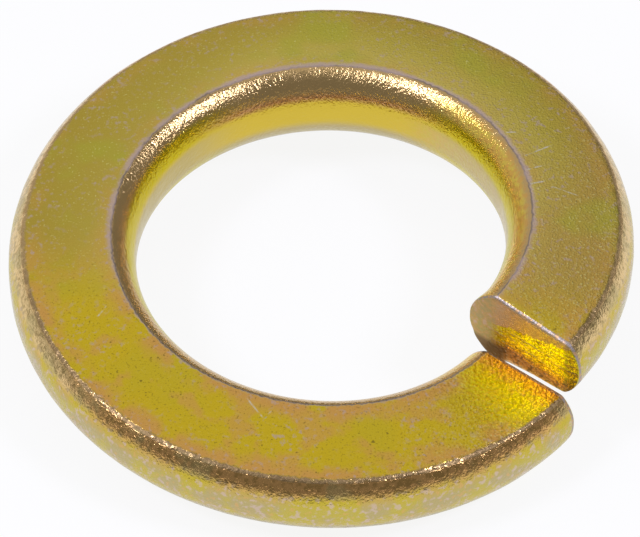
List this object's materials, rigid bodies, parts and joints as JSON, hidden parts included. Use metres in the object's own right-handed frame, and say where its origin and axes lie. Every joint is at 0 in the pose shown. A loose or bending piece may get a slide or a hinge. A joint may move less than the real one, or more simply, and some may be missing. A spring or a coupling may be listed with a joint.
{
  "type": "spring lock washer",
  "caption": "Split spring lock washer: a coil of keystone steel wire, cut through and sprung open, that keeps tension under a bolt head or nut.",
  "frame": {"origin": "on the bore's axis, at the height of the lower end's underside, which is the plane the washer lies on", "axes": "+Z along the bore's axis, from the lower end towards the raised end; +X to the right in the picture, and -Y towards its camera"},
  "size_m": [0.0174, 0.0174, 0.0046],
  "materials": {
    "plated_steel": "spring steel, zinc plated with a yellow chromate coat that turns from olive gold to lemon yellow, pink and grey violet"
  },
  "bodies": {
    "root": {"washer": "plated_steel"}
  },
  "joints": []
}
